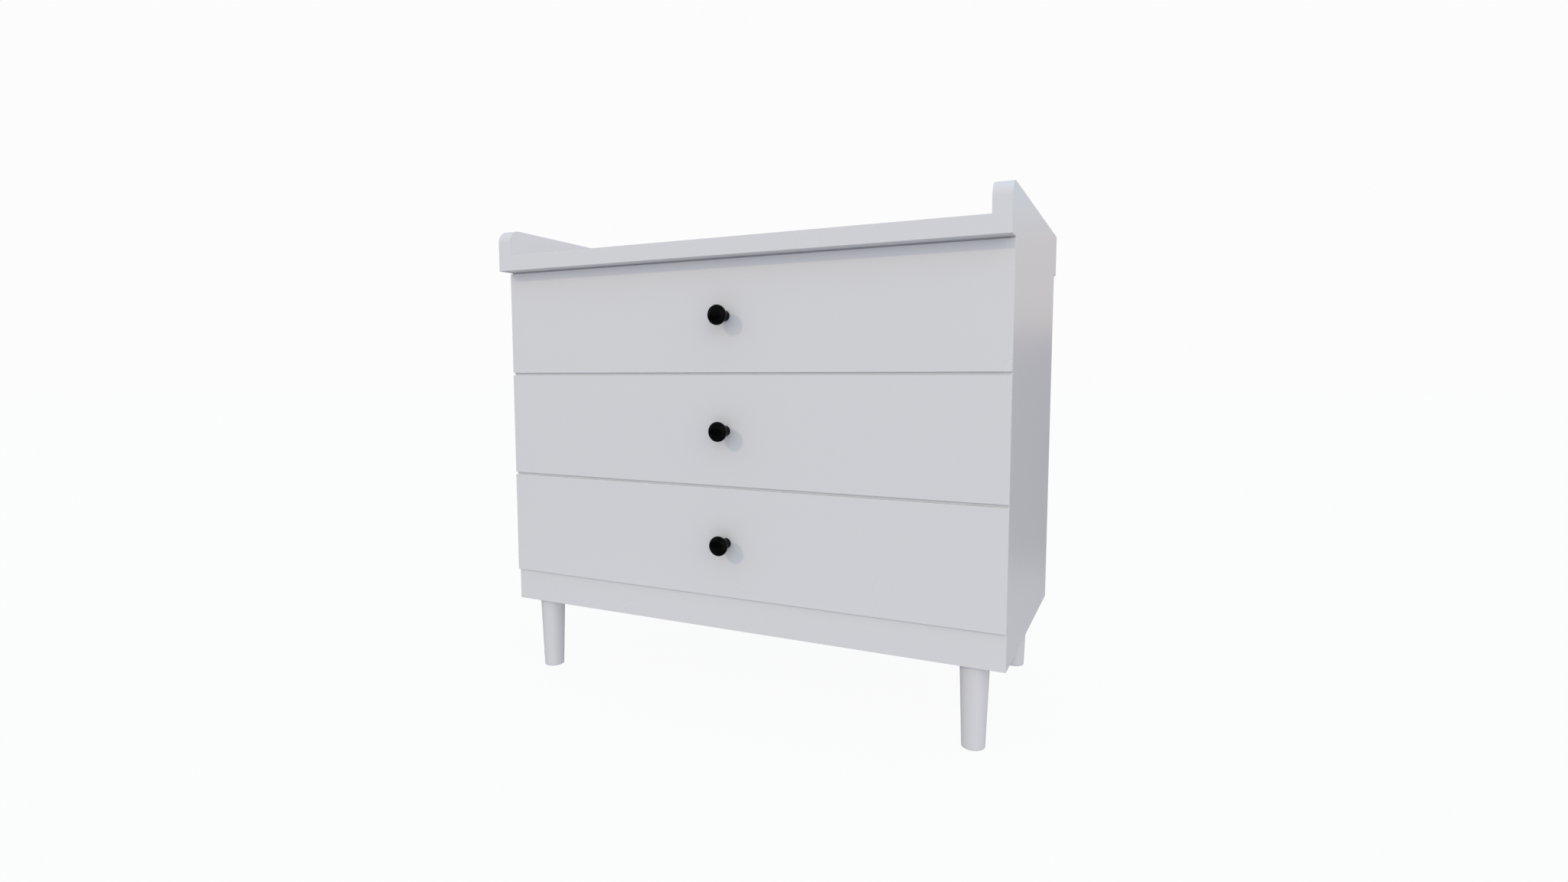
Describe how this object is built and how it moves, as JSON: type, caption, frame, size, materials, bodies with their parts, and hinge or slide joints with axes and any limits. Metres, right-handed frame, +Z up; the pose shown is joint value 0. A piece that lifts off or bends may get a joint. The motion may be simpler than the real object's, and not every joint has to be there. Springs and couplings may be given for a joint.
{
  "type": "changing table",
  "caption": "Changing table: a chest of wide flat drawers with round knobs, on tapered round legs, under a flat changing top framed by low guard boards.",
  "frame": {"origin": "on the floor, under the centre of the whole object's bounding box", "axes": "+Z up; +X along the width, to the right as seen from the front; +Y to the back, so the drawers open towards -Y"},
  "size_m": [1, 0.556, 0.9],
  "materials": {
    "white_lacquer": "smooth satin white lacquer on board, no grain showing",
    "leg_lacquer": "smooth satin white lacquer on turned wood",
    "drawer_board": "matte white foil on board",
    "hardboard": "matte white painted hardboard",
    "black_gloss": "high gloss black",
    "zinc_steel": "bright zinc plating"
  },
  "bodies": {
    "cabinet": {"side_panel_left": "white_lacquer", "side_panel_right": "white_lacquer", "bottom_panel": "white_lacquer", "back_panel": "hardboard", "plinth_rail": "white_lacquer", "drawer_rail_lower": "white_lacquer", "drawer_rail_upper": "white_lacquer", "top_rail_front": "white_lacquer", "top_rail_rear": "white_lacquer", "top_board": "white_lacquer", "guard_rear": "white_lacquer", "guard_left": "white_lacquer", "guard_right": "white_lacquer", "leg_front_left": "leg_lacquer", "leg_rear_left": "leg_lacquer", "leg_front_right": "leg_lacquer", "leg_rear_right": "leg_lacquer", "leg_stud_front_left": "zinc_steel", "leg_stud_rear_left": "zinc_steel", "leg_stud_front_right": "zinc_steel", "leg_stud_rear_right": "zinc_steel", "slide_cabinet_lower_left": "zinc_steel", "slide_cabinet_lower_right": "zinc_steel", "slide_cabinet_centre_left": "zinc_steel", "slide_cabinet_centre_right": "zinc_steel", "slide_cabinet_upper_left": "zinc_steel", "slide_cabinet_upper_right": "zinc_steel"},
    "slide_members_lower": {"slide_intermediate_lower_left": "zinc_steel", "slide_intermediate_lower_right": "zinc_steel"},
    "drawer_lower": {"drawer_lower_front": "white_lacquer", "drawer_lower_side_left": "drawer_board", "drawer_lower_side_right": "drawer_board", "drawer_lower_back": "drawer_board", "drawer_lower_bottom": "hardboard", "drawer_lower_knob": "black_gloss", "drawer_lower_knob_screw": "zinc_steel", "slide_drawer_lower_left": "zinc_steel", "slide_drawer_lower_right": "zinc_steel"},
    "slide_members_centre": {"slide_intermediate_centre_left": "zinc_steel", "slide_intermediate_centre_right": "zinc_steel"},
    "drawer_centre": {"drawer_centre_front": "white_lacquer", "drawer_centre_side_left": "drawer_board", "drawer_centre_side_right": "drawer_board", "drawer_centre_back": "drawer_board", "drawer_centre_bottom": "hardboard", "drawer_centre_knob": "black_gloss", "drawer_centre_knob_screw": "zinc_steel", "slide_drawer_centre_left": "zinc_steel", "slide_drawer_centre_right": "zinc_steel"},
    "slide_members_upper": {"slide_intermediate_upper_left": "zinc_steel", "slide_intermediate_upper_right": "zinc_steel"},
    "drawer_upper": {"drawer_upper_front": "white_lacquer", "drawer_upper_side_left": "drawer_board", "drawer_upper_side_right": "drawer_board", "drawer_upper_back": "drawer_board", "drawer_upper_bottom": "hardboard", "drawer_upper_knob": "black_gloss", "drawer_upper_knob_screw": "zinc_steel", "slide_drawer_upper_left": "zinc_steel", "slide_drawer_upper_right": "zinc_steel"}
  },
  "joints": [
    {"name": "drawer_lower_slide", "type": "slide", "parent": "cabinet", "child": "drawer_lower", "axis": [0, -1, 0], "range_m": [0, 0.44]},
    {"name": "slide_members_lower_slide", "type": "slide", "parent": "cabinet", "child": "slide_members_lower", "axis": [0, -1, 0], "range_m": [0, 0.22]},
    {"name": "drawer_centre_slide", "type": "slide", "parent": "cabinet", "child": "drawer_centre", "axis": [0, -1, 0], "range_m": [0, 0.44]},
    {"name": "slide_members_centre_slide", "type": "slide", "parent": "cabinet", "child": "slide_members_centre", "axis": [0, -1, 0], "range_m": [0, 0.22]},
    {"name": "drawer_upper_slide", "type": "slide", "parent": "cabinet", "child": "drawer_upper", "axis": [0, -1, 0], "range_m": [0, 0.44]},
    {"name": "slide_members_upper_slide", "type": "slide", "parent": "cabinet", "child": "slide_members_upper", "axis": [0, -1, 0], "range_m": [0, 0.22]}
  ],
  "couplings": [
    {"joint": "slide_members_lower_slide", "follows": "drawer_lower_slide", "ratio": 0.5},
    {"joint": "slide_members_centre_slide", "follows": "drawer_centre_slide", "ratio": 0.5},
    {"joint": "slide_members_upper_slide", "follows": "drawer_upper_slide", "ratio": 0.5}
  ]
}
